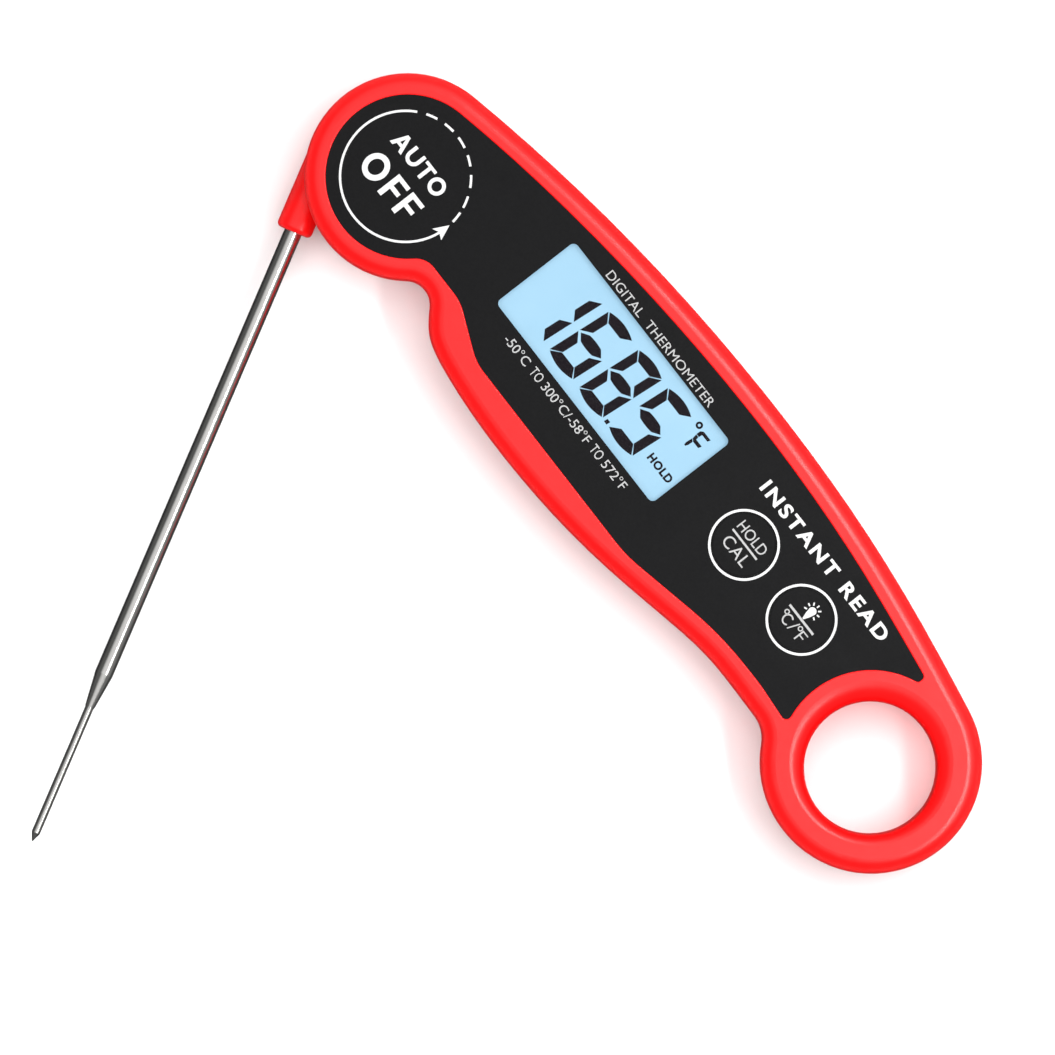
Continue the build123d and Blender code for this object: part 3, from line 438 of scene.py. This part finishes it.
# Each word with its left and right end, on a line with a bottom and a top, all in millimetres.
TITLE = [("DIGITAL", 34.2, 43.4), ("THERMOMETER", 45.0, 63.0)]
TITLE_LINE = (16.35, 18.0)
RANGE = [
    ("-50°C", 32.2, 38.1), ("TO", 39.2, 41.7), ("300°C/-58°F", 42.5, 55.0), ("TO", 56.0, 58.5),
    ("572°F", 59.3, 65.0),
]
RANGE_LINE = (-4.25, -2.5)
for number, (words, left, right) in enumerate(TITLE, 1):
    box = (left, right, *TITLE_LINE)
    lettering(f"title_print_{number}", words, box, "housing", weight=-0.004, material=PALE_INK)
for number, (words, left, right) in enumerate(RANGE, 1):
    lettering(f"range_print_{number}", words, (left, right, *RANGE_LINE), "housing", material=PALE_INK)
lettering("feature_print", "INSTANT READ", (79.2, 112.8, 14.75, 17.35), "housing", weight=0.03, spacing=1.25)

# AUTO and OFF: upright letters with strokes of an even width.
AUTO_BOTTOM, AUTO_TOP, AUTO_LINE = 1.35, 4.45, 0.66
OFF_BOTTOM, OFF_TOP, OFF_LINE = -5.65, -0.85, 0.98


def letter_f(left, right, bottom, top, line):
    bar = 0.8 * line
    waist = bottom + 0.58 * (top - bottom)
    return [[
        (left, bottom), (left + line, bottom), (left + line, waist - bar), (right - 0.2, waist - bar),
        (right - 0.2, waist), (left + line, waist), (left + line, top - bar), (right, top - bar),
        (right, top), (left, top),
    ]]


def letter_t(left, right, bottom, top, line):
    middle = (left + right) / 2
    bar = 0.85 * line
    return [[
        (middle - line / 2, bottom), (middle + line / 2, bottom), (middle + line / 2, top - bar),
        (right, top - bar), (right, top), (left, top), (left, top - bar), (middle - line / 2, top - bar),
    ]]


def letter_a(left, right, bottom, top, line):
    middle = (left + right) / 2
    foot = 1.1 * line
    slope = (middle - line / 2 - left) / (top - bottom)

    def inner(height):
        """Half-width of the gap between the legs."""
        return middle - left - foot - slope * (height - bottom)

    low, high = bottom + 0.24 * (top - bottom), bottom + 0.42 * (top - bottom)
    peak = bottom + 0.76 * (top - bottom)
    outer = [
        (left, bottom), (left + foot, bottom), (middle - inner(low), low), (middle + inner(low), low),
        (right - foot, bottom), (right, bottom), (middle + line / 2, top), (middle - line / 2, top),
    ]
    return [outer, [(middle - inner(high), high), (middle + inner(high), high), (middle, peak)]]


def letter_u(left, right, bottom, top, line):
    middle = (left + right) / 2
    outer = (right - left) / 2
    bowl = bottom + 1.05 * outer
    return [
        arc((middle, bowl), (outer, 1.05 * outer), 180, 360, 16)
        + [(right, top), (right - line, top)]
        + arc((middle, bowl), (outer - line, 1.05 * outer - line), 360, 180, 16)
        + [(left + line, top), (left, top)]
    ]


def letter_o(left, right, bottom, top, line):
    return ring(((left + right) / 2, (bottom + top) / 2), ((right - left) / 2, (top - bottom) / 2), line, 48)


auto_outlines = (
    letter_a(-6.75, -3.65, AUTO_BOTTOM, AUTO_TOP, AUTO_LINE)
    + letter_u(-3.3, -0.45, AUTO_BOTTOM, AUTO_TOP, AUTO_LINE)
    + letter_t(-0.05, 2.55, AUTO_BOTTOM, AUTO_TOP, AUTO_LINE)
    + letter_o(2.85, 5.95, AUTO_BOTTOM - 0.05, AUTO_TOP + 0.05, AUTO_LINE)
)
off_outlines = (
    letter_o(-6.95, -2.35, OFF_BOTTOM - 0.1, OFF_TOP + 0.1, OFF_LINE)
    + letter_f(-1.25, 1.9, OFF_BOTTOM, OFF_TOP, OFF_LINE)
    + letter_f(2.65, 5.85, OFF_BOTTOM, OFF_TOP, OFF_LINE)
)
drawn("auto_print", "housing", auto_outlines)
drawn("off_print", "housing", off_outlines)

# Circle of the folding switch: a solid arc that ends in an arrow, then dashes.
DIAL = (-0.25, -0.25)
DIAL_R = (11.25, 11.25)
DIAL_LINE = 0.4
DIAL_START = 132
ARROW_BASE = -7.0        # where the arc runs into the arrow
ARROW = [(12.15, -2.15), (11.0, 0.55), (9.65, -2.15), (10.3, -1.85), (10.85, -1.55), (11.45, -1.85)]
DASHES = [(123.7, 113.2), (105.3, 95.3), (88.5, 77.9), (70.9, 60.9), (53.3, 42.0), (34.4, 23.6), (18.6, 8.2)]

drawn("dial_print", "housing", [ribbon(arc(DIAL, DIAL_R, DIAL_START, 360 + ARROW_BASE, 120), DIAL_LINE)])
drawn("dial_arrow_print", "housing", [ARROW])
dashes = [ribbon(arc(DIAL, DIAL_R, start, end, 6), DIAL_LINE) for start, end in DASHES]
drawn("dial_dash_print", "housing", dashes)

# Buttons: a ring printed round each, and a black ring of painted shade in the pocket under each button's
# edge, so that the slit shows dark and no red shows through it.
RING_R = (6.17, 6.17)
RING_LINE = 0.43
SLIT_SHADE_R = (5.58, 5.58)
SLIT_SHADE_LINE = 0.5
POCKET_DEPTH = 1.45 * MM
IN_POCKET = {"material": LOOKS["black_plastic"], "level": PANEL_TOP - POCKET_DEPTH, "depth": 0.1 * MM,
             "root": 0.01 * MM}
KEY_CENTRES = {"hold": (HOLD.x / MM, HOLD.y / MM), "light": (LIGHT.x / MM, LIGHT.y / MM)}
for key, centre in KEY_CENTRES.items():
    drawn(f"{key}_ring_print", "housing", ring(centre, RING_R, RING_LINE))
# Painted shade: a black ring at the bottom of each pocket darkens the slit round the button.
for key, centre in KEY_CENTRES.items():
    drawn(f"{key}_pocket_painted_shade", "housing", ring(centre, SLIT_SHADE_R, SLIT_SHADE_LINE), **IN_POCKET)

lettering("hold_print", "HOLD", (82.0, 88.6, 7.7, 9.65), "hold_key", material=PALE_INK)
lettering("cal_print", "CAL", (82.4, 88.2, 4.0, 6.2), "hold_key", spacing=1.1, material=PALE_INK)
drawn("hold_bar_print", "hold_key", [ribbon([(81.95, 6.95), (88.65, 6.95)], 0.36)], PALE_INK)
drawn("light_bar_print", "light_key", [ribbon([(98.2, 6.7), (104.75, 6.7)], 0.42)], PALE_INK)

# Degrees Celsius or Fahrenheit, in thin lines.
UNIT_LINE = 0.27
SLASH_LINE = 0.22
DEGREE_R = (0.47, 0.47)
DEGREE_LINE = 0.2
unit_outlines = (
    ring((98.87, 5.62), DEGREE_R, DEGREE_LINE, 32)
    + [ribbon(arc((100.02, 4.85), (0.83, 0.92), 45, 315, 40), UNIT_LINE)]
    + [ribbon([(101.08, 3.85), (101.95, 6.05)], SLASH_LINE)]
    + ring((102.6, 5.62), DEGREE_R, DEGREE_LINE, 32)
    + letter_f(103.15, 104.55, 3.7, 5.85, UNIT_LINE)
)
drawn("unit_print", "light_key", unit_outlines, PALE_INK)

# A lamp with rays.
BULB = (101.5, 9.05)
BULB_R = (0.72, 0.72)
RAYS = (-26, 13, 51, 90, 129, 167, 206)
RAY_START, RAY_END, RAY_LINE = 1.0, 1.55, 0.26
bulb = arc(BULB, BULB_R, -25, 205, 24) + [(101.0, 8.0), (101.37, 7.0), (101.63, 7.0), (102.0, 8.0)]
rays = [
    ribbon([arc(BULB, (reach, reach), angle, angle, 1)[0] for reach in (RAY_START, RAY_END)], RAY_LINE)
    for angle in RAYS
]
drawn("lamp_print", "light_key", [bulb, *rays])

# ======================================================================================================
# Display: slanted seven-part figures, in millimetres from the figure's lower left corner
# ======================================================================================================
SLANT = 0.095
FIGURE_PITCH = 8.3
FIGURE_WIDTH = 6.9
FIGURES = "168.5"
FIGURES_LEFT = 29.75
BULGE = 0.62             # how far the outer edge of the top and bottom parts swells
UPRIGHT_LOW = [(0.15, 1.1), (1.82, 2.55), (1.82, 5.5), (0.15, 6.92)]
UPRIGHT_HIGH = [(0.15, 7.2), (1.82, 8.65), (1.82, 11.55), (0.15, 13.0)]
POINT = [(53.78, 0.85), (54.52, 0.85), (54.6, 1.6), (53.86, 1.6)]


def swelling(start, end, bulge, steps=10):
    """Points along a shallow curve between two points of equal height."""
    shares = [i / steps for i in range(steps + 1)]
    return [(start[0] + (end[0] - start[0]) * t, start[1] + bulge * 4 * t * (1 - t)) for t in shares]


PARTS = {
    "low_left": UPRIGHT_LOW,
    "high_left": UPRIGHT_HIGH,
    "low_right": [(FIGURE_WIDTH - x, y) for x, y in UPRIGHT_LOW],
    "high_right": [(FIGURE_WIDTH - x, y) for x, y in UPRIGHT_HIGH],
    "top": swelling((0.35, 13.12), (6.55, 13.12), BULGE) + [(5.1, 11.75), (1.8, 11.75)],
    "bottom": swelling((0.35, 0.98), (6.55, 0.98), -BULGE) + [(5.1, 2.42), (1.8, 2.42)],
    "middle": [(0.62, 7.06), *swelling((1.9, 7.98), (5.0, 7.98), 0.12), (6.28, 7.06),
               *swelling((5.0, 6.12), (1.9, 6.12), -0.12)],
}
LIT = {
    "1": "low_right high_right",
    "6": "top high_left middle low_left low_right bottom",
    "8": "top high_left high_right middle low_left low_right bottom",
    "5": "top high_left middle low_right bottom",
}
figures = [POINT]
for place, figure in enumerate(FIGURES.replace(".", "")):
    left = FIGURES_LEFT + place * FIGURE_PITCH
    figures += [[(left + x + SLANT * y, y) for x, y in PARTS[part]] for part in LIT[figure].split()]

# The small F is in three parts, beside its degree ring.
F_TOP = [(65.28, 12.05), (65.3, 12.85), (65.75, 13.28), (67.65, 13.28), (67.45, 12.7), (66.02, 12.7),
         (65.93, 12.05)]
F_MIDDLE = [(65.3, 11.97), (65.92, 11.97), (66.0, 11.42), (67.55, 11.42), (67.35, 10.78), (65.97, 10.78),
            (65.45, 11.1)]
F_FOOT = [(65.4, 11.02), (65.93, 10.68), (65.9, 9.85), (65.68, 9.25), (65.38, 9.3), (65.28, 9.85)]
unit = ring((64.4, 13.35), (0.64, 0.64), 0.38, 32) + [F_TOP, F_MIDDLE, F_FOOT]
ON_DISPLAY = {"material": DISPLAY_INK, "level": DISPLAY_TOP, "depth": 0.035 * MM, "root": 0.01 * MM}
drawn("display_figures", "housing", figures, **ON_DISPLAY)
drawn("display_unit", "housing", unit, **ON_DISPLAY)
HOLD_BOX = (63.2, 69.0, 2.75, 4.3)
lettering("display_hold", "HOLD", HOLD_BOX, "housing", weight=0.045, spacing=1.15, **ON_DISPLAY)

# ======================================================================================================
# Floor
# ======================================================================================================
FLOOR_REACH = 6.0
FLOOR_LEVEL = -0.05 * MM
quarters = ((-1, -1), (1, -1), (1, 1), (-1, 1))
floor_corners = [(x * FLOOR_REACH, y * FLOOR_REACH, FLOOR_LEVEL) for x, y in quarters]
floor_mesh = bpy.data.meshes.new("floor")
floor_mesh.from_pydata(floor_corners, [], [(0, 1, 2, 3)])
floor_finish = Finish("floor", Roughness=0.7, Specular_IOR_Level=0.2)
clouds = floor_finish.noise(0.3)
floor_finish.feed("Base Color", floor_finish.mixed(clouds, (0.84, 0.84, 0.84), (0.87, 0.87, 0.87)))
floor_mesh.materials.append(floor_finish.material)
floor = bpy.data.objects.new("floor", floor_mesh)
bpy.context.scene.collection.objects.link(floor)
floor.visible_glossy = False
